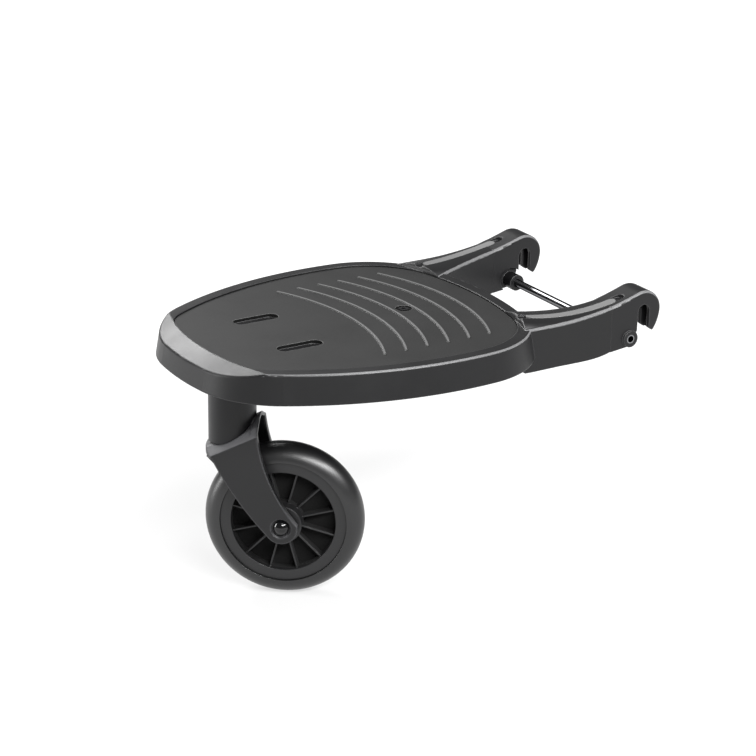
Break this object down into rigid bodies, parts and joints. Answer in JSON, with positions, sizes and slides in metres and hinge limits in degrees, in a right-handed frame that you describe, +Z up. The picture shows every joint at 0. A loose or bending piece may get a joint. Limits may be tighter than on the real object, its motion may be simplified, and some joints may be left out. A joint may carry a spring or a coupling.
{
  "type": "ride-on stroller board",
  "caption": "Ride-on board for a stroller: bowed tread deck with arms ending in open hooks, a steel cross rod and a swivelling caster wheel.",
  "frame": {"origin": "axis of the stroller's axle bar in the hooks, midway between the arms", "axes": "+X to the rider's right along the bar, +Y forward to the stroller, +Z up"},
  "size_m": [0.2432, 0.366, 0.212],
  "materials": {
    "charcoal_plastic": "fine moulded texture",
    "tread_plastic": "matte grained tread",
    "grey_plastic": "smooth",
    "polished_rod": "polished",
    "steel": "plain zinc-plated",
    "bush_plastic": "natural acetal",
    "cap_gloss": "glossy black",
    "tyre_rubber": "smooth rubber",
    "rim_plastic": "fine moulded texture"
  },
  "bodies": {
    "board": {"deck_shell": "charcoal_plastic", "tread_panel": "tread_plastic", "tread_screw": "steel", "arm_inlay_left": "grey_plastic", "arm_inlay_right": "grey_plastic", "cross_rod": "polished_rod", "rod_end_screws": "steel", "swivel_housing": "charcoal_plastic", "housing_screws": "steel", "upper_bush": "bush_plastic", "lower_bush": "bush_plastic"},
    "caster": {"fork": "charcoal_plastic", "kingpin": "steel", "kingpin_washer": "steel", "kingpin_nut": "steel", "thrust_washer": "bush_plastic", "axle_pin": "steel", "axle_caps": "cap_gloss", "wheel_washers": "bush_plastic"},
    "wheel": {"tyre": "tyre_rubber", "wheel_rim": "rim_plastic", "wheel_bushes": "bush_plastic"}
  },
  "joints": [
    {"name": "caster_swivel", "type": "hinge", "parent": "board", "child": "caster", "pos_m": [0, -0.3056, -0.05], "axis": [0, 0, 1], "continuous": true},
    {"name": "wheel_spin", "type": "hinge", "parent": "caster", "child": "wheel", "pos_m": [0.02359, -0.27429, -0.1356], "axis": [0.7986, -0.6018, 0], "continuous": true}
  ]
}
